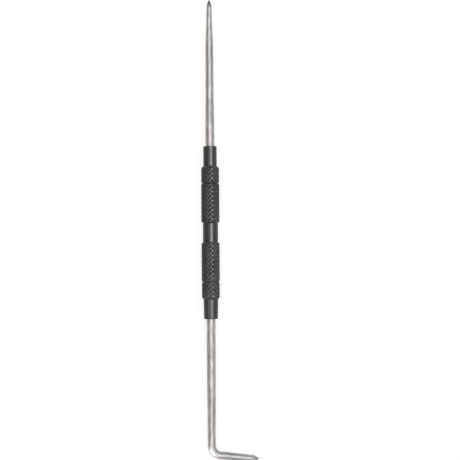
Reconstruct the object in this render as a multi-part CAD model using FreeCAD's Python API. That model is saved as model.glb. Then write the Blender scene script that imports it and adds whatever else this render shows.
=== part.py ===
import FreeCAD, Part
import math
import os

# Double-ended machinist's scriber: a knurled steel handle with a small collet chuck at each end. One chuck
# grips a long straight point and the other a point that is bent into a hook. Lengths are in millimetres.
#
# Frame: the origin is on the tool's axis, at the middle of the handle's plain neck. +X runs along the axis
# towards the straight point and +Z is up. The tool lies on a flat surface, on its handle and on its hook.
# Each chuck is made at the +X end, and a half turn about Z carries a second one to the -X end.

ORIGIN = FreeCAD.Vector(0, 0, 0)
X_AXIS = FreeCAD.Vector(1, 0, 0)
Z_AXIS = FreeCAD.Vector(0, 0, 1)

# Handle: two knurled grips with a plain neck between them, and a threaded spigot at each end
GRIP_RADIUS = 4.07  # over the knurl's crests
GRIP_END = 21.96
NECK_RADIUS = 3.39
NECK_END = 4.25
NECK_SHOULDER = 0.60  # length of the slope from the neck up to a grip
EDGE_BEVEL_LENGTH = 0.60  # of the shallow bevels where a grip and a ring face each other
EDGE_BEVEL_DEPTH = 0.28
THREAD_RADIUS = 3.175  # 1/4 inch fine thread, drawn as a plain cylinder at its crests
THREAD_LEAD = 0.30  # bevel at the mouth of the thread
SPIGOT_END = 28.75
BORE_RADIUS = 2.06
BORE_DEPTH = 14.75  # from the spigot's end to where the drill point starts
DRILL_POINT_ANGLE = 59.0  # half the angle of the drill that made the blind bore

# Chuck nut: a knurled ring behind a smooth nose, hollow for the thread and the collet
NUT_REAR = 22.04
RING_RADIUS = 4.00
RING_END = 28.90
RING_SLOPE = 1.00  # length of the slope from the ring down to the nose
NOSE_END = 38.70
STRAIGHT_NOSE_RADII = (3.01, 3.01)  # at the ring and at the end
BENT_NOSE_RADII = (3.31, 3.10)
STRAIGHT_NOSE_ROUND = 0.45
BENT_NOSE_ROUND = 0.20
THREAD_CLEARANCE = 0.06
CAVITY_RADIUS = 2.55
CLOSING_CONE_START = 35.20
CLOSING_CONE_ANGLE = 12.0
EXIT_RADIUS = 2.08

# Collet: a split sleeve between the spigot and the nut's closing cone
COLLET_GAP = 0.10  # from the spigot's end face
COLLET_CLEARANCE = 0.06  # inside the nut
COLLET_BORE_RADIUS = 2.03
COLLET_FRONT_RADIUS = 2.20
COLLET_SLITS = 3
SLIT_WIDTH = 0.40
SLIT_START = 31.20

# Points
SHANK_RADIUS = 2.00
SHANK_INSIDE = 24.00  # length of shank behind the nose's end
SHANK_BEVEL = 0.25
STRAIGHT_TIP = 104.40
# Distance back from the tip and radius where the straight point's taper changes
STRAIGHT_TAPER = ((53.3, 2.00), (46.3, 1.84), (18.8, 1.69), (12.8, 1.36), (4.3, 1.18))
TAPER_START = 60.00  # where the bent point stops being parallel
BEND_WIRE_RADIUS = 1.80
BEND_RADIUS = 4.50  # of the centre line
HOOK_OPENING = 6.00  # degrees that the hook leans outwards from a right angle
HOOK_REACH = 21.40  # from the tool's axis to the hook's tip
HOOK_TIP = 101.73  # from the origin, along the tool's axis
HOOK_POINT = 2.30  # length of the hook's conical tip
HOOK_POINT_RADIUS = 1.45


def turned(stations):
    """Solid turned about the X axis. A station is (x, radius) at the end of a straight line, or
    (x, radius, x, radius) for a curve that sets out towards the first place and ends at the second.
    The outline closes itself."""
    edges = []
    last = FreeCAD.Vector(stations[0][-2], 0, stations[0][-1])
    for station in stations[1:] + stations[:1]:
        end = FreeCAD.Vector(station[-2], 0, station[-1])
        if len(station) == 4:
            curve = Part.BezierCurve()
            curve.setPoles([last, FreeCAD.Vector(station[0], 0, station[1]), end])
            edges.append(curve.toShape())
        else:
            edges.append(Part.LineSegment(last, end).toShape())
        last = end
    return Part.Face(Part.Wire(edges)).revolve(ORIGIN, X_AXIS, 360)


def at_bent_end(shape):
    """The shape carried from the +X end to the -X end by a half turn about Z."""
    moved = shape.copy()
    moved.rotate(ORIGIN, Z_AXIS, 180)
    return moved


def make_handle():
    half = [
        (NECK_END, NECK_RADIUS),
        (NECK_END + NECK_SHOULDER, GRIP_RADIUS),
        (GRIP_END - EDGE_BEVEL_LENGTH, GRIP_RADIUS),
        (GRIP_END, GRIP_RADIUS - EDGE_BEVEL_DEPTH),
        (GRIP_END, THREAD_RADIUS),
        (SPIGOT_END - THREAD_LEAD, THREAD_RADIUS),
        (SPIGOT_END, THREAD_RADIUS - THREAD_LEAD),
        (SPIGOT_END, 0),
    ]
    other_half = [(-x, radius) for x, radius in reversed(half)]
    bore_bottom = SPIGOT_END - BORE_DEPTH
    drill_point = BORE_RADIUS / math.tan(math.radians(DRILL_POINT_ANGLE))
    bore = turned([
        (bore_bottom - drill_point, 0),
        (bore_bottom, BORE_RADIUS),
        (SPIGOT_END + 1, BORE_RADIUS),
        (SPIGOT_END + 1, 0),
    ])
    return turned(other_half + half).cut(bore).cut(at_bent_end(bore))


def make_nut(nose_radii, nose_round):
    root_radius, end_radius = nose_radii
    thread_bore = THREAD_RADIUS + THREAD_CLEARANCE
    cone_length = (CAVITY_RADIUS - EXIT_RADIUS) / math.tan(math.radians(CLOSING_CONE_ANGLE))
    return turned([
        (NUT_REAR, thread_bore),
        (NUT_REAR, RING_RADIUS - EDGE_BEVEL_DEPTH),
        (NUT_REAR + EDGE_BEVEL_LENGTH, RING_RADIUS),
        (RING_END, RING_RADIUS),
        (RING_END + RING_SLOPE, root_radius),
        (NOSE_END - nose_round, end_radius),
        (NOSE_END, end_radius, NOSE_END, end_radius - nose_round),
        (NOSE_END, EXIT_RADIUS),
        (CLOSING_CONE_START + cone_length, EXIT_RADIUS),
        (CLOSING_CONE_START, CAVITY_RADIUS),
        (SPIGOT_END, CAVITY_RADIUS),
        (SPIGOT_END, thread_bore),
    ])


def make_collet():
    outer_radius = CAVITY_RADIUS - COLLET_CLEARANCE
    rear = SPIGOT_END + COLLET_GAP
    cone_length = (outer_radius - COLLET_FRONT_RADIUS) / math.tan(math.radians(CLOSING_CONE_ANGLE))
    front = CLOSING_CONE_START + cone_length
    collet = turned([
        (rear, COLLET_BORE_RADIUS),
        (rear, outer_radius),
        (CLOSING_CONE_START, outer_radius),
        (front, COLLET_FRONT_RADIUS),
        (front, COLLET_BORE_RADIUS),
    ])
    for number in range(COLLET_SLITS):
        corner = FreeCAD.Vector(SLIT_START, -SLIT_WIDTH / 2, 0)
        slit = Part.makeBox(front + 1 - SLIT_START, SLIT_WIDTH, outer_radius + 1, corner)
        slit.rotate(ORIGIN, X_AXIS, 360 * number / COLLET_SLITS)
        collet = collet.cut(slit)
    return collet


def shank_start():
    """The bevelled inner end that both points share, as stations for turned."""
    inner_end = NOSE_END - SHANK_INSIDE
    return [
        (inner_end, 0),
        (inner_end, SHANK_RADIUS - SHANK_BEVEL),
        (inner_end + SHANK_BEVEL, SHANK_RADIUS),
    ]


def make_straight_point():
    taper = [(STRAIGHT_TIP - back, radius) for back, radius in STRAIGHT_TAPER]
    # The tip is a pointed arch that sets out parallel to the axis and ends on it.
    tip_length, tip_radius = STRAIGHT_TAPER[-1]
    tip = (STRAIGHT_TIP - tip_length / 2, tip_radius, STRAIGHT_TIP, 0)
    return turned(shank_start() + taper + [tip])


def hook_roll():
    """Angle about the tool's axis, in degrees, at which the hook comes down to the surface under the handle.

    The hook touches where its conical tip starts: reach * sin(roll) plus the rim's drop is the handle's radius.
    """
    lean = math.cos(math.radians(HOOK_OPENING))
    reach = HOOK_REACH - HOOK_POINT * lean
    rim = HOOK_POINT_RADIUS
    square = reach**2 + (rim * lean) ** 2
    half_term = GRIP_RADIUS * reach
    sine = (half_term - math.sqrt(half_term**2 - square * (GRIP_RADIUS**2 - rim**2))) / square
    return math.degrees(math.asin(sine))


def make_bent_point():
    opening = math.radians(HOOK_OPENING)
    bend_angle = 90 - HOOK_OPENING
    corner = HOOK_TIP - HOOK_REACH * math.tan(opening)
    bend_start = corner - BEND_RADIUS * math.tan(math.radians(bend_angle) / 2)
    shank = turned(shank_start() + [
        (TAPER_START, SHANK_RADIUS),
        (bend_start, BEND_WIRE_RADIUS),
        (bend_start, 0),
    ])

    section = Part.Wire(Part.makeCircle(BEND_WIRE_RADIUS, FreeCAD.Vector(bend_start, 0, 0), X_AXIS))
    bend_centre = FreeCAD.Vector(bend_start, BEND_RADIUS, 0)
    bend = Part.Face(section).revolve(bend_centre, Z_AXIS, bend_angle)

    hook_start = BEND_RADIUS * (1 - math.sin(opening))
    hook_length = (HOOK_REACH - hook_start) / math.cos(opening)
    hook = turned([
        (0, 0),
        (0, BEND_WIRE_RADIUS),
        (hook_length - HOOK_POINT, HOOK_POINT_RADIUS),
        (hook_length, 0),
    ])
    hook.rotate(ORIGIN, Z_AXIS, bend_angle)
    hook.translate(FreeCAD.Vector(bend_start + BEND_RADIUS * math.cos(opening), hook_start, 0))

    point = shank.fuse([bend, hook]).removeSplitter()
    point.rotate(ORIGIN, X_AXIS, -hook_roll())
    return point


def main():
    os.makedirs("parts", exist_ok=True)
    collet = make_collet()
    nodes = {
        "handle_barrel": make_handle(),
        "straight_end_collet": collet,
        "straight_end_nut": make_nut(STRAIGHT_NOSE_RADII, STRAIGHT_NOSE_ROUND),
        "straight_point": make_straight_point(),
        "bent_end_collet": at_bent_end(collet),
        "bent_end_nut": at_bent_end(make_nut(BENT_NOSE_RADII, BENT_NOSE_ROUND)),
        "bent_point": at_bent_end(make_bent_point()),
    }
    for name, shape in nodes.items():
        shape.exportStep(f"parts/{name}.step")
        box = shape.BoundBox
        print(f"{name}: {len(shape.Solids)} solid, valid {shape.isValid()}, {shape.Volume:.1f} mm3,",
              f"x {box.XMin:.2f} to {box.XMax:.2f}, z {box.ZMin:.2f} to {box.ZMax:.2f}")


main()
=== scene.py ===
import math
from collections import namedtuple

import bmesh
import bpy
import numpy as np
from mathutils import Matrix, Vector


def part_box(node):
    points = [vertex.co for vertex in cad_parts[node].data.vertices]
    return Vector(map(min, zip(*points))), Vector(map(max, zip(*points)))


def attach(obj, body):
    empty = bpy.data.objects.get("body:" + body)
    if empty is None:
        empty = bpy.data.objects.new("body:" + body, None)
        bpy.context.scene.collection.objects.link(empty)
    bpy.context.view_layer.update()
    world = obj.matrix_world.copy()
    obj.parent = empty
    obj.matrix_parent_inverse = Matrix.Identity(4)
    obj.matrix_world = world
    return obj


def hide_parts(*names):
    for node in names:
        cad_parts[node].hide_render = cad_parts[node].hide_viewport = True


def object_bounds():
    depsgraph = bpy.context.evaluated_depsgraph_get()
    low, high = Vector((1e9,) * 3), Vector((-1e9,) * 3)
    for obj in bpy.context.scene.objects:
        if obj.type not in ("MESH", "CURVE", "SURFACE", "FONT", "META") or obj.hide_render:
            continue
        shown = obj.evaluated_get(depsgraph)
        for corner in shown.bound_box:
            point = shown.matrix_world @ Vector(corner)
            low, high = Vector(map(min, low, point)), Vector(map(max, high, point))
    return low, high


# Looks of a double-ended scriber: a black knurled handle with a chuck nut at each end, a long straight point
# and a point bent into a hook. Lengths are in metres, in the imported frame: +X runs along the axis towards the
# straight point and +Z is up. A nut's outline is written for the +X end and mirrored for the -X end.

MM = 0.001

# Handle, where the frame's box doesn't give it
NECK_RADIUS = 3.39 * MM
NECK_END = 4.25 * MM
NECK_SHOULDER = 0.60 * MM
GRIP_END = 21.96 * MM
EDGE_BEVEL_LENGTH = 0.60 * MM
EDGE_BEVEL_DEPTH = 0.28 * MM
EDGE_ROUND = 0.08 * MM  # how far a corner's rounding runs along its two lines
THREAD_RADIUS = 3.175 * MM
THREAD_CLEARANCE = 0.06 * MM
THREAD_PITCH = 0.635 * MM
THREAD_DEPTH = 0.36 * MM
THREAD_FLAT = 0.125  # share of the pitch that is flat at a crest, and at a root
THREAD_LEAD = 0.30 * MM
BORE_RADIUS = 2.06 * MM
BORE_DEPTH = 14.75 * MM
DRILL_POINT = 1.24 * MM

# Chuck nuts. A nose is its radius at the ring, its radius at the end and the rounding of its end.
RING_LENGTH = 6.86 * MM
RING_SLOPE = 1.00 * MM
STRAIGHT_NOSE = (3.01 * MM, 3.01 * MM, 0.45 * MM)
BENT_NOSE = (3.31 * MM, 3.10 * MM, 0.20 * MM)
CAVITY_RADIUS = 2.55 * MM
CLOSING_CONE_START = 35.20 * MM
CLOSING_CONE_END = 37.41 * MM
EXIT_RADIUS = 2.08 * MM

# Diamond knurl: grooves that cross at an angle and leave small flattened pyramids
KNURL_AROUND = 12  # grooves of one hand that a section crosses
KNURL_AXIAL = 2.03 * MM  # distance along the axis from one diamond to the next
KNURL_DEPTH = 0.20 * MM
KNURL_FLAT = 0.58  # share of a diamond's width that stays flat

# Points
SHANK_RADIUS = 2.00 * MM
SHANK_BEVEL = 0.25 * MM
# Distance back from the tip and radius where the straight point's taper changes
STRAIGHT_TAPER = (
    (53.3 * MM, 2.00 * MM),
    (46.3 * MM, 1.84 * MM),
    (18.8 * MM, 1.69 * MM),
    (12.8 * MM, 1.36 * MM),
    (4.3 * MM, 1.18 * MM),
)
BENT_TAPER_START = 60.00 * MM
BEND_WIRE_RADIUS = 1.80 * MM
BEND_RADIUS = 4.50 * MM  # of the centre line
HOOK_OPENING = math.radians(6.00)  # how far the hook leans outwards from a right angle
HOOK_POINT = 2.30 * MM  # length of the conical tip
HOOK_POINT_RADIUS = 1.45 * MM
# Painted shade at each point: distances from the tip where the darker base colour, which stands in for the dark
# reflection of the point's cone, starts to fade and where it ends
STRAIGHT_TIP_SHADE = (2.1 * MM, 3.7 * MM)
HOOK_TIP_SHADE = (0.9 * MM, 1.8 * MM)

# Fineness of the meshes
KNURL_STEPS = 14  # rows and columns that one diamond takes
THREAD_STEPS = 8  # rows that one turn of thread takes
TURNED_COLUMNS = KNURL_AROUND * KNURL_STEPS
POINT_COLUMNS = 64
PLAIN_STEP = 0.60 * MM
ROUNDING_STEPS = 4
LATTICE_MARGIN = 0.3  # share of a step that a relief's rows keep from the ends of their line
STRAIGHT_STATIONS = 180
STRAIGHT_TIP_STATIONS = 17
ROD_STATIONS = 160
BEND_STATIONS = 25
HOOK_STATIONS = 40
HOOK_TIP_STATIONS = 12
SEAM_GAP = 1e-7
TURNED_SHARP_ANGLE = math.radians(30)
SWEPT_SHARP_ANGLE = math.radians(40)

# Camera, straight above the tool
CAMERA_HEIGHT = 1.0
CAMERA_FIELD = 0.2061  # side of the square that the camera sees on the plane through the origin
CAMERA_AIM = (0.0011, -0.00875)
CAMERA_ROLL = math.radians(0.37)
CAMERA_SENSOR = 36.0  # millimetres, as Blender has it
CAMERA_NEAR = 0.1
CAMERA_FAR = 20.0

# Floor: a faint light table
FLOOR_SIDE = 12.0
FLOOR_ALBEDO = 0.25
FLOOR_GLOW = 0.78

# World. A brightness stop is the sine of the height and the brightness there.
WORLD_STRENGTH = 1.6
WORLD_STOPS = ((0.35, 0.32), (0.80, 0.80), (1.00, 2.00))
HORIZON_BRIGHTNESS = 0.68
HORIZON_FADE_START = 0.09  # sine of the height at which the pale band starts to fade
HORIZON_FADE_END = 0.14
COOL = (0.88, 0.94, 1.0)
WARM = (0.62, 0.56, 0.50)

# Lights
WHITE = (1, 1, 1)
STRIP_CENTRE = (0.42, -0.38, 1.15)
STRIP_SIZE = (1.2, 0.10)
STRIP_POWER = 35.5
STRIP_COLOUR = (0.90, 0.95, 1.0)
NOSE_LIGHT_CENTRE = (-0.40, 0.60, 1.00)
NOSE_LIGHT_SIZE = (1.2, 0.5)
NOSE_LIGHT_POWER = 4.5
BEND_LIGHT_TARGET = (0.002, -0.001, 0.0)  # from the outside of the bend
BEND_LIGHT_OFFSET = (-0.068, 0.076, 0.064)  # from the target
BEND_LIGHT_SIZE = (0.006, 0.006)
BEND_LIGHT_SPREAD = math.radians(5)
BEND_LIGHT_POWER = 0.0004

# Sockets of Blender's mix node when it mixes colours. They share names with hidden ones, so they go by
# number.
MIX_FACTOR = 0
MIX_FIRST = 6
MIX_SECOND = 7
MIX_RESULT = 2

# A corner of an outline. rounding is how far its rounding runs along its two lines, relief covers the line
# that leaves it, and wear is 1 where the finish is rubbed most.
Corner = namedtuple("Corner", "x radius rounding relief wear", defaults=(0.0, None, 0.0))
Row = namedtuple("Row", "x radius relief wear")

# A pattern cut into a turned surface. pattern(x, angle) is 0 on a crest and 1 at the bottom of a groove, and
# step is the distance along X between two rows of the mesh.
Relief = namedtuple("Relief", "pattern step crest depth")


# ---------- Reliefs ----------

def groove(turns, flat):
    """0 on the crest between two grooves and 1 where turns is a whole number."""
    from_middle = np.abs(2 * (turns % 1) - 1)
    return np.clip((from_middle - flat) / (1 - flat), 0, 1)


def knurl_turns(x, angle):
    """Where a place is among the grooves of each hand, counted in grooves."""
    around = KNURL_AROUND * angle / (2 * math.pi)
    along = x / KNURL_AXIAL
    return around + along, around - along


def knurl_pattern(x, angle):
    one_hand, other_hand = knurl_turns(x, angle)
    return np.maximum(groove(one_hand, KNURL_FLAT), groove(other_hand, KNURL_FLAT))


def thread_pattern(x, angle):
    """A right-hand helix with flat crests and roots."""
    from_middle = np.abs(2 * ((x / THREAD_PITCH - angle / (2 * math.pi)) % 1) - 1)
    return np.clip((from_middle - THREAD_FLAT) / (1 - 2 * THREAD_FLAT), 0, 1)


def knurl(crest):
    return Relief(knurl_pattern, KNURL_AXIAL / KNURL_STEPS, crest, KNURL_DEPTH)


def thread(crest):
    return Relief(thread_pattern, THREAD_PITCH / THREAD_STEPS, crest, THREAD_DEPTH)


# ---------- Meshes ----------

def corner_arc(before, corner, after):
    """Places on a corner's rounding, or the corner itself."""
    here = Vector((corner.x, corner.radius))
    if not corner.rounding or before is None or after is None:
        return [here]
    start = here + (Vector((before.x, before.radius)) - here).normalized() * corner.rounding
    end = here + (Vector((after.x, after.radius)) - here).normalized() * corner.rounding
    shares = [number / ROUNDING_STEPS for number in range(ROUNDING_STEPS + 1)]
    return [start * (1 - s) ** 2 + here * 2 * s * (1 - s) + end * s * s for s in shares]


def places_between(start, end, relief):
    """Places on a straight line between two others. A relief's rows keep to its own lattice along X."""
    if relief and abs(end.x - start.x) > relief.step:
        low, high = sorted((start.x, end.x))
        first = math.ceil(low / relief.step + LATTICE_MARGIN)
        last = math.floor(high / relief.step - LATTICE_MARGIN)
        lattice = [number * relief.step for number in range(first, last + 1)]
        if end.x < start.x:
            lattice.reverse()
        return [start.lerp(end, (x - start.x) / (end.x - start.x)) for x in lattice]
    steps = math.ceil((end - start).length / PLAIN_STEP)
    return [start.lerp(end, number / steps) for number in range(1, steps)]


def outline_rows(corners, closed):
    """Rows along an outline. A corner's relief covers the line that leaves it, and a corner at either end of
    such a line."""
    rows = []
    arcs = []
    for number, corner in enumerate(corners):
        before = corners[number - 1] if closed or number else None
        after = corners[(number + 1) % len(corners)] if closed or number + 1 < len(corners) else None
        arcs.append(corner_arc(before, corner, after))
    for number, corner in enumerate(corners):
        own_relief = corner.relief or corners[number - 1].relief
        rows += [Row(place.x, place.y, own_relief, corner.wear) for place in arcs[number]]
        if closed or number + 1 < len(corners):
            following = arcs[(number + 1) % len(corners)]
            middle = places_between(arcs[number][-1], following[0], corner.relief)
            rows += [Row(place.x, place.y, corner.relief, 0.0) for place in middle]
    return rows


def grid_faces(row_count, columns, closed, lean):
    """Triangles of a skin whose columns close into rings. lean says, for each quad, which way it is split."""
    quads = row_count if closed else row_count - 1
    row, column = np.meshgrid(np.arange(quads), np.arange(columns), indexing="ij")
    below = (row + 1) % row_count
    beside = (column + 1) % columns
    a = row * columns + column
    b = row * columns + beside
    c = below * columns + beside
    d = below * columns + column
    first = np.where(lean[:quads, :, None], np.stack([a, b, c], -1), np.stack([a, b, d], -1))
    second = np.where(lean[:quads, :, None], np.stack([a, c, d], -1), np.stack([b, c, d], -1))
    return np.concatenate([first.reshape(-1, 3), second.reshape(-1, 3)]).tolist()


def make_mesh(name, places, faces, marks, sharp_angle):
    """A mesh with joined seams and outward normals. marks holds its attributes, each with a number or a
    vector at every vertex."""
    mesh = bpy.data.meshes.new(name)
    mesh.from_pydata(places.tolist(), [], faces)
    for mark, values in marks.items():
        is_number = values.ndim == 1
        attribute = mesh.attributes.new(mark, "FLOAT" if is_number else "FLOAT_VECTOR", "POINT")
        attribute.data.foreach_set("value" if is_number else "vector", values.astype(np.float32).ravel())
    work = bmesh.new()
    work.from_mesh(mesh)
    bmesh.ops.remove_doubles(work, verts=work.verts, dist=SEAM_GAP)
    bmesh.ops.recalc_face_normals(work, faces=work.faces)
    work.to_mesh(mesh)
    work.free()
    mesh.shade_smooth()
    mesh.set_sharp_from_angle(angle=sharp_angle)
    return mesh


def turned_mesh(name, corners, closed=False):
    """The skin that an outline makes when it turns about X."""
    columns = TURNED_COLUMNS
    rows = outline_rows(corners, closed)
    x = np.array([row.x for row in rows])[:, None]
    radius = np.repeat(np.array([row.radius for row in rows])[:, None], columns, 1)
    wear = np.repeat(np.array([row.wear for row in rows])[:, None], columns, 1)
    angle = 2 * math.pi * np.arange(columns)[None, :] / columns
    for relief in {row.relief for row in rows if row.relief}:
        cut = np.array([row.relief is relief for row in rows])
        depth = relief.pattern(x[cut], angle)
        radius[cut] = np.minimum(radius[cut], relief.crest - relief.depth * depth)
        wear[cut] = np.maximum(wear[cut], 1 - depth)
    places = np.stack([x + 0 * radius, radius * np.cos(angle), radius * np.sin(angle)], -1)
    # Each quad is split along the groove that it is nearest to.
    middle_x = (x + np.roll(x, -1, 0)) / 2
    one_hand, other_hand = knurl_turns(middle_x, angle + math.pi / columns)
    lean = groove(one_hand, 0) < groove(other_hand, 0)
    faces = grid_faces(len(rows), columns, closed, lean)
    return make_mesh(name, places.reshape(-1, 3), faces, {"wear": wear.ravel()}, TURNED_SHARP_ANGLE)


def swept_mesh(name, stations, plane_normal, dark):
    """The skin of a rod that bends in one plane. A station is (centre, direction, radius).

    tip_dark is painted shade, a darker tip that stands in for the dark reflection of the point's cone. It is 1
    at the tip and fades to 0 between the two distances in dark. unbent is the place on the rod if it were
    straight."""
    columns = POINT_COLUMNS
    angle = 2 * math.pi * np.arange(columns)[:, None] / columns
    centres = np.array([station[0] for station in stations])
    steps = np.linalg.norm(np.diff(centres, axis=0, append=centres[-1:]), axis=1)
    from_tip = np.cumsum(steps[::-1])[::-1]
    rings = []
    straight_rings = []
    for (centre, direction, radius), along in zip(stations, from_tip):
        side = plane_normal.cross(direction)
        rings.append(np.array(centre) + radius * (np.cos(angle) * side + np.sin(angle) * plane_normal))
        straight_rings.append(np.hstack([along + 0 * angle, radius * np.cos(angle), radius * np.sin(angle)]))
    lean = np.zeros((len(stations), columns), bool)
    faces = grid_faces(len(stations), columns, False, lean)
    # Painted shade at the tip: 1 at the tip, fading to 0 between the two distances.
    shade_at_tip = np.repeat(np.interp(from_tip, dark, (1, 0)), columns)
    marks = {"tip_dark": shade_at_tip, "unbent": np.concatenate(straight_rings)}
    return make_mesh(name, np.concatenate(rings), faces, marks, SWEPT_SHARP_ANGLE)


def add_piece(mesh, material, node, body):
    """Shows the mesh in place of a CAD node."""
    mesh.materials.append(material)
    piece = bpy.data.objects.new(mesh.name, mesh)
    bpy.context.scene.collection.objects.link(piece)
    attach(piece, body)
    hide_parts(node)
    return piece


# ---------- Handle and nuts ----------

def mirrored(corners):
    """The same outline at the -X end, in reverse order. A corner takes the relief of the line that now leaves
    it."""
    return [corner._replace(x=-corner.x, relief=corners[number - 1].relief)
            for number, corner in reversed(list(enumerate(corners)))]


def handle_mesh():
    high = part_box("handle_barrel")[1]
    grip_radius = high.z
    spigot_end = high.x
    bore_bottom = spigot_end - BORE_DEPTH
    grip = knurl(grip_radius)
    screw = thread(THREAD_RADIUS)
    half = [
        Corner(NECK_END, NECK_RADIUS, EDGE_ROUND, grip),
        Corner(NECK_END + NECK_SHOULDER, grip_radius, EDGE_ROUND, grip, wear=1.0),
        Corner(GRIP_END - EDGE_BEVEL_LENGTH, grip_radius, EDGE_ROUND, grip, wear=1.0),
        Corner(GRIP_END, grip_radius - EDGE_BEVEL_DEPTH, EDGE_ROUND, wear=1.0),
        Corner(GRIP_END, THREAD_RADIUS, relief=screw),
        Corner(spigot_end - THREAD_LEAD, THREAD_RADIUS, relief=screw),
        Corner(spigot_end, THREAD_RADIUS - THREAD_LEAD, EDGE_ROUND, wear=0.5),
        Corner(spigot_end, BORE_RADIUS, EDGE_ROUND, wear=0.5),
        Corner(bore_bottom, BORE_RADIUS),
        Corner(bore_bottom - DRILL_POINT, 0.0),
    ]
    return turned_mesh("handle_barrel_detail", mirrored(half) + half)


def nut_corners(node, nose):
    low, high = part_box(node)
    root_radius, end_radius, end_round = nose
    rear, front = sorted((abs(low.x), abs(high.x)))
    ring_radius = high.z
    ring_end = rear + RING_LENGTH
    thread_bore = THREAD_RADIUS + THREAD_CLEARANCE
    cavity_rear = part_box("handle_barrel")[1].x
    ring = knurl(ring_radius)
    screw = thread(thread_bore)
    return [
        Corner(rear, thread_bore + THREAD_LEAD / 2),
        Corner(rear, ring_radius - EDGE_BEVEL_DEPTH, EDGE_ROUND, ring, wear=1.0),
        Corner(rear + EDGE_BEVEL_LENGTH, ring_radius, EDGE_ROUND, ring, wear=1.0),
        Corner(ring_end, ring_radius, EDGE_ROUND, ring, wear=1.0),
        Corner(ring_end + RING_SLOPE, root_radius, EDGE_ROUND),
        Corner(front, end_radius, end_round, wear=0.6),
        Corner(front, EXIT_RADIUS, EDGE_ROUND),
        Corner(CLOSING_CONE_END, EXIT_RADIUS),
        Corner(CLOSING_CONE_START, CAVITY_RADIUS),
        Corner(cavity_rear, CAVITY_RADIUS),
        Corner(cavity_rear, thread_bore, relief=screw),
        Corner(rear + THREAD_LEAD / 2, thread_bore),
    ]


def straight_nut_mesh():
    return turned_mesh("straight_end_nut_detail", nut_corners("straight_end_nut", STRAIGHT_NOSE), closed=True)


def bent_nut_mesh():
    return turned_mesh("bent_end_nut_detail", mirrored(nut_corners("bent_end_nut", BENT_NOSE)), closed=True)


# ---------- Points ----------

def smooth_taper(x, stations):
    """Radius at x on a smooth curve through (x, radius) stations that never overshoots them."""
    places, radii = np.array(stations).T
    slopes = np.diff(radii) / np.diff(places)
    tangents = np.zeros(len(places))
    for number in range(1, len(places) - 1):
        left = slopes[number - 1]
        right = slopes[number]
        tangents[number] = 0 if left * right <= 0 else 2 * left * right / (left + right)
    number = min(max(int(np.searchsorted(places, x)) - 1, 0), len(places) - 2)
    span = places[number + 1] - places[number]
    t = (x - places[number]) / span
    return ((2 * t**3 - 3 * t**2 + 1) * radii[number] + (t**3 - 2 * t**2 + t) * span * tangents[number]
            + (3 * t**2 - 2 * t**3) * radii[number + 1] + (t**3 - t**2) * span * tangents[number + 1])


def straight_point_mesh():
    low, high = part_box("straight_point")
    start = low.x
    tip = high.x
    taper = [(tip - back, radius) for back, radius in STRAIGHT_TAPER]
    tip_start, tip_radius = taper[-1]
    profile = [(start, 0.0), (start, SHANK_RADIUS - SHANK_BEVEL)]
    for x in np.linspace(start + SHANK_BEVEL, tip_start, STRAIGHT_STATIONS):
        profile.append((x, SHANK_RADIUS if x < taper[0][0] else smooth_taper(x, taper)))
    # The tip is a pointed arch, a quadratic curve from the taper's end to the axis.
    control = (tip_start + tip) / 2
    for share in np.linspace(0, 1, STRAIGHT_TIP_STATIONS)[1:]:
        x = tip_start * (1 - share) ** 2 + control * 2 * share * (1 - share) + tip * share**2
        profile.append((x, tip_radius * ((1 - share) ** 2 + 2 * share * (1 - share))))
    stations = [(Vector((x, 0, 0)), Vector((1, 0, 0)), radius) for x, radius in profile]
    return swept_mesh("straight_point_detail", stations, Vector((0, 0, 1)), STRAIGHT_TIP_SHADE)


def bent_point_mesh(cad_point):
    """The hook's own plane is found from the CAD node's tip, its vertex farthest towards -Y."""
    inner_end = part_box("bent_point")[1].x
    tip = min((vertex.co for vertex in cad_point.data.vertices), key=lambda place: place.y)
    outwards = Vector((0, tip.y, tip.z)).normalized()
    normal = outwards.cross(Vector((-1, 0, 0)))
    hook_reach = Vector((tip.y, tip.z)).length
    bend_angle = math.pi / 2 - HOOK_OPENING
    bend_start = -tip.x - hook_reach * math.tan(HOOK_OPENING) - BEND_RADIUS * math.tan(bend_angle / 2)

    def direction(turn):
        return Vector((-math.cos(turn), 0, 0)) + outwards * math.sin(turn)

    # Shank and rod
    stations = [(Vector((inner_end, 0, 0)), direction(0), 0.0),
                (Vector((inner_end, 0, 0)), direction(0), SHANK_RADIUS - SHANK_BEVEL)]
    for x in np.linspace(-inner_end + SHANK_BEVEL, bend_start, ROD_STATIONS):
        share = max(0.0, (x - BENT_TAPER_START) / (bend_start - BENT_TAPER_START))
        radius = SHANK_RADIUS + (BEND_WIRE_RADIUS - SHANK_RADIUS) * share
        stations.append((Vector((-x, 0, 0)), direction(0), radius))

    # Bend
    for turn in np.linspace(0, bend_angle, BEND_STATIONS)[1:]:
        centre = Vector((-bend_start - BEND_RADIUS * math.sin(turn), 0, 0))
        centre += outwards * BEND_RADIUS * (1 - math.cos(turn))
        stations.append((centre, direction(turn), BEND_WIRE_RADIUS))

    # Hook and its conical tip
    hook_start = stations[-1][0]
    hook_direction = direction(bend_angle)
    hook_length = (tip - hook_start).length
    for along in np.linspace(0, hook_length - HOOK_POINT, HOOK_STATIONS)[1:]:
        share = along / (hook_length - HOOK_POINT)
        radius = BEND_WIRE_RADIUS + (HOOK_POINT_RADIUS - BEND_WIRE_RADIUS) * share
        stations.append((hook_start + hook_direction * along, hook_direction, radius))
    for share in np.linspace(0, 1, HOOK_TIP_STATIONS)[1:]:
        along = hook_length - HOOK_POINT * (1 - share)
        radius = HOOK_POINT_RADIUS * (1 - share)
        stations.append((hook_start + hook_direction * along, hook_direction, radius))
    return swept_mesh("bent_point_detail", stations, normal, HOOK_TIP_SHADE)


# ---------- Materials ----------

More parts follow.
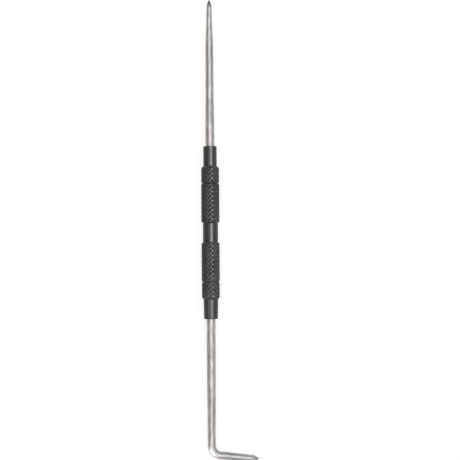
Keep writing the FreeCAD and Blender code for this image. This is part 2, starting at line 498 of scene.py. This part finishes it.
def new_material(name):
    """A material with its node tree, its shader and a helper that adds a node and joins it up."""
    material = bpy.data.materials.new(name)
    material.use_nodes = True
    tree = material.node_tree

    def add(kind, settings=None, **inputs):
        node = tree.nodes.new(kind)
        for key, value in (settings or {}).items():
            setattr(node, key, value)
        for key, value in inputs.items():
            socket = node.inputs[key.replace("_", " ")]
            if isinstance(value, bpy.types.NodeSocket):
                tree.links.new(value, socket)
            else:
                socket.default_value = value
        return node

    return material, tree, tree.nodes["Principled BSDF"], add


def ramp(tree, factor, stops):
    """A colour ramp. A stop is (place, (red, green, blue))."""
    node = tree.nodes.new("ShaderNodeValToRGB")
    elements = node.color_ramp.elements
    for number, (place, colour) in enumerate(stops):
        element = elements[number] if number < 2 else elements.new(place)
        element.position = place
        element.color = (*colour, 1.0)
    tree.links.new(factor, node.inputs["Fac"])
    return node.outputs["Color"]


def grey(value):
    return (value, value, value)


def mix_colours(tree, first, second, factor, blend="MIX"):
    """Blends the second colour over the first. Each input is a socket or a constant."""
    node = tree.nodes.new("ShaderNodeMix")
    node.data_type = "RGBA"
    node.blend_type = blend
    for number, value in ((MIX_FIRST, first), (MIX_SECOND, second), (MIX_FACTOR, factor)):
        if isinstance(value, bpy.types.NodeSocket):
            tree.links.new(value, node.inputs[number])
        elif number == MIX_FACTOR:
            node.inputs[number].default_value = value
        else:
            node.inputs[number].default_value = (*value, 1.0)
    return node.outputs[MIX_RESULT]


def noise(add, place, stretch, scale, detail=2.0):
    """A noise texture that is stretched by a different amount along each axis of the place."""
    mapped = add("ShaderNodeMapping", Vector=place, Scale=stretch).outputs["Vector"]
    return add("ShaderNodeTexNoise", Vector=mapped, Scale=scale, Detail=detail).outputs["Fac"]


def black_oxide():
    """Satin black with fine turning lines, rubbed paler where an edge or a crest is handled."""
    material, tree, shader, add = new_material("black_oxide_finish")
    place = add("ShaderNodeTexCoord").outputs["Object"]
    cloud = noise(add, place, (1, 1, 1), 260.0, 5.0)
    grain = noise(add, place, (1, 1, 1), 9000.0, 3.0)
    lathe = noise(add, place, (1, 0.02, 0.02), 12000.0)
    wear = add("ShaderNodeAttribute", {"attribute_name": "wear"}).outputs["Fac"]
    patchy = add("ShaderNodeMath", {"operation": "MULTIPLY"})
    tree.links.new(wear, patchy.inputs[0])
    tree.links.new(cloud, patchy.inputs[1])
    rubbed = ramp(tree, patchy.outputs[0], ((0.30, grey(0.0)), (0.75, grey(0.10))))
    oxide = ramp(tree, cloud, ((0.3, (0.007, 0.0068, 0.0060)), (0.7, (0.014, 0.013, 0.0118))))
    colour = mix_colours(tree, oxide, (0.12, 0.118, 0.115), rubbed)
    tree.links.new(colour, shader.inputs["Base Color"])
    tree.links.new(ramp(tree, grain, ((0.3, grey(0.30)), (0.7, grey(0.43)))), shader.inputs["Roughness"])
    lines = add("ShaderNodeBump", Height=lathe, Strength=0.25, Distance=0.000006).outputs["Normal"]
    skin = add("ShaderNodeBump", Height=grain, Strength=0.12, Distance=0.000008, Normal=lines)
    tree.links.new(skin.outputs["Normal"], shader.inputs["Normal"])
    shader.inputs["Metallic"].default_value = 0.0
    shader.inputs["IOR"].default_value = 1.4
    return material


def ground_steel():
    """Bright steel with fine lengthwise grinding, and painted shade near the tip: the base colour darkens there
    in place of the dark reflection of the point's cone.
    """
    material, tree, shader, add = new_material("ground_steel_finish")
    place = add("ShaderNodeAttribute", {"attribute_name": "unbent"}).outputs["Vector"]
    cloud = noise(add, place, (0.5, 1, 1), 420.0, 4.0)
    streak = noise(add, place, (0.10, 1, 1), 1900.0)
    lines = noise(add, place, (0.04, 1, 1), 9000.0)
    tip_dark = add("ShaderNodeAttribute", {"attribute_name": "tip_dark"}).outputs["Fac"]
    bright = ramp(tree, cloud, ((0.3, (0.40, 0.382, 0.378)), (0.7, (0.54, 0.526, 0.523))))
    shade = ramp(tree, streak, ((0.35, grey(0.68)), (0.6, grey(1.0))))
    streaked = mix_colours(tree, bright, shade, 1.0, "MULTIPLY")
    # Painted shade: the base colour turns dark near the tip, standing in for the dark reflection of the point's
    # cone.
    colour = mix_colours(tree, streaked, (0.17, 0.165, 0.16), tip_dark)
    tree.links.new(colour, shader.inputs["Base Color"])
    tree.links.new(ramp(tree, lines, ((0.3, grey(0.34)), (0.7, grey(0.46)))), shader.inputs["Roughness"])
    bump = add("ShaderNodeBump", Height=lines, Strength=0.4, Distance=0.000006).outputs["Normal"]
    tree.links.new(bump, shader.inputs["Normal"])
    shader.inputs["Metallic"].default_value = 1.0
    return material


def spring_steel():
    """Duller steel with fine turning lines, for the collets."""
    material, tree, shader, add = new_material("spring_steel_finish")
    place = add("ShaderNodeTexCoord").outputs["Object"]
    cloud = noise(add, place, (1, 1, 1), 500.0)
    lathe = noise(add, place, (1, 0.02, 0.02), 9000.0)
    colour = ramp(tree, cloud, ((0.3, (0.34, 0.33, 0.32)), (0.7, (0.44, 0.43, 0.42))))
    tree.links.new(colour, shader.inputs["Base Color"])
    tree.links.new(ramp(tree, lathe, ((0.3, grey(0.30)), (0.7, grey(0.45)))), shader.inputs["Roughness"])
    bump = add("ShaderNodeBump", Height=lathe, Strength=0.5, Distance=0.00001).outputs["Normal"]
    tree.links.new(bump, shader.inputs["Normal"])
    shader.inputs["Metallic"].default_value = 1.0
    return material


def pale_floor():
    """Matt, and glowing a little, so that the tool hardly darkens it."""
    material, _, shader, _ = new_material("pale_floor")
    shader.inputs["Base Color"].default_value = (*grey(FLOOR_ALBEDO), 1)
    shader.inputs["Roughness"].default_value = 0.9
    shader.inputs["Specular IOR Level"].default_value = 0.0
    shader.inputs["Emission Color"].default_value = (*WHITE, 1)
    shader.inputs["Emission Strength"].default_value = FLOOR_GLOW
    return material


# ---------- Stage ----------

def add_floor(height):
    half = FLOOR_SIDE / 2
    corners = [(x, y, height) for x, y in ((-half, -half), (half, -half), (half, half), (-half, half))]
    mesh = bpy.data.meshes.new("floor")
    mesh.from_pydata(corners, [], [(0, 1, 2, 3)])
    mesh.materials.append(pale_floor())
    floor = bpy.data.objects.new("floor", mesh)
    bpy.context.scene.collection.objects.link(floor)


def add_area_light(name, place, target, size, power, colour, lit_pieces, spread=math.pi):
    """A rectangular light, aimed at a target, that lights only some pieces. Its first side is level."""
    data = bpy.data.lights.new(name, "AREA")
    data.shape = "RECTANGLE"
    data.size, data.size_y = size
    data.spread = spread
    data.energy = power
    data.color = colour
    light = bpy.data.objects.new(name, data)
    light.visible_camera = False
    away = (Vector(place) - Vector(target)).normalized()
    side = Vector((0, 0, 1)).cross(away).normalized()
    turn = Matrix((side, away.cross(side), away)).transposed().to_4x4()
    light.matrix_world = Matrix.Translation(Vector(place)) @ turn
    lit = bpy.data.collections.new(name + "_lit")
    for piece in lit_pieces:
        lit.objects.link(piece)
    light.light_linking.receiver_collection = lit
    bpy.context.scene.collection.objects.link(light)


def add_lights(black_pieces, bent_nut, hooked_piece, bend_x):
    """A strip overhead for the black pieces, a softer panel for the lower nut, and a narrow spot on the
    outside of the bend, at bend_x."""
    strip_target = (STRIP_CENTRE[0], 0, 0)
    add_area_light("strip_light", STRIP_CENTRE, strip_target, STRIP_SIZE, STRIP_POWER, STRIP_COLOUR,
                   black_pieces)
    nose_target = (NOSE_LIGHT_CENTRE[0], 0, 0)
    add_area_light("nose_light", NOSE_LIGHT_CENTRE, nose_target, NOSE_LIGHT_SIZE, NOSE_LIGHT_POWER, WHITE,
                   [bent_nut])
    bend_target = Vector((bend_x, 0, 0)) + Vector(BEND_LIGHT_TARGET)
    bend_light_place = bend_target + Vector(BEND_LIGHT_OFFSET)
    add_area_light("bend_light", bend_light_place, bend_target, BEND_LIGHT_SIZE, BEND_LIGHT_POWER, WHITE,
                   [hooked_piece], BEND_LIGHT_SPREAD)


def studio_world():
    """Soft light all round, brighter overhead, a little warm from +Y and a little cool from -Y. A pale band
    at the horizon continues the floor."""
    world = bpy.data.worlds.new("studio")
    world.use_nodes = True
    tree = world.node_tree
    background = tree.nodes["Background"]
    place = tree.nodes.new("ShaderNodeTexCoord")
    split = tree.nodes.new("ShaderNodeSeparateXYZ")
    tree.links.new(place.outputs["Generated"], split.inputs["Vector"])
    height = split.outputs["Z"]
    across = tree.nodes.new("ShaderNodeMapRange")
    across.inputs["From Min"].default_value = -1.0
    tree.links.new(split.outputs["Y"], across.inputs["Value"])
    bright = ramp(tree, height, [(sine, grey(brightness)) for sine, brightness in WORLD_STOPS])
    tint = ramp(tree, across.outputs["Result"], ((0.2, COOL), (0.8, WARM)))
    tinted = mix_colours(tree, bright, tint, 1.0, "MULTIPLY")
    horizon = ramp(tree, height, ((HORIZON_FADE_START, grey(1.0)), (HORIZON_FADE_END, grey(0.0))))
    colour = mix_colours(tree, tinted, grey(HORIZON_BRIGHTNESS), horizon)
    tree.links.new(colour, background.inputs["Color"])
    background.inputs["Strength"].default_value = WORLD_STRENGTH
    bpy.context.scene.world = world


def add_camera():
    data = bpy.data.cameras.new("camera")
    data.sensor_width = CAMERA_SENSOR
    data.lens = CAMERA_SENSOR * CAMERA_HEIGHT / CAMERA_FIELD
    data.clip_start = CAMERA_NEAR
    data.clip_end = CAMERA_FAR
    camera = bpy.data.objects.new("camera", data)
    camera.location = (*CAMERA_AIM, CAMERA_HEIGHT)
    camera.rotation_euler = (0, 0, -math.pi / 2 - CAMERA_ROLL)
    bpy.context.scene.collection.objects.link(camera)
    bpy.context.scene.camera = camera


# ---------- Scene ----------

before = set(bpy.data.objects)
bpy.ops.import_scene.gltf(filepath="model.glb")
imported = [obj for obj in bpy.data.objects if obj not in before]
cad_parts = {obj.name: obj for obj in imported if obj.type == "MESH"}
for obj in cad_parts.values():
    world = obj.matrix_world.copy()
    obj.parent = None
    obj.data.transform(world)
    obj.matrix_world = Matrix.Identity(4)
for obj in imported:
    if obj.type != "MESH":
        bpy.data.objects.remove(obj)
cad_low, cad_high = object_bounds()

black = black_oxide()
steel = ground_steel()
spring = spring_steel()
handle = add_piece(handle_mesh(), black, "handle_barrel", "handle")
straight_nut = add_piece(straight_nut_mesh(), black, "straight_end_nut", "straight_nut")
bent_nut = add_piece(bent_nut_mesh(), black, "bent_end_nut", "bent_nut")
add_piece(straight_point_mesh(), steel, "straight_point", "straight_point")
hook_mesh = bent_point_mesh(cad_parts["bent_point"])
hooked_piece = add_piece(hook_mesh, steel, "bent_point", "bent_point")
for node in ("straight_end_collet", "bent_end_collet"):
    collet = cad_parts[node]
    collet.data.materials[0] = spring

add_floor(cad_low.z)
studio_world()
add_lights([handle, straight_nut, bent_nut], bent_nut, hooked_piece, cad_low.x)
add_camera()
bpy.context.scene.view_settings.view_transform = "Standard"
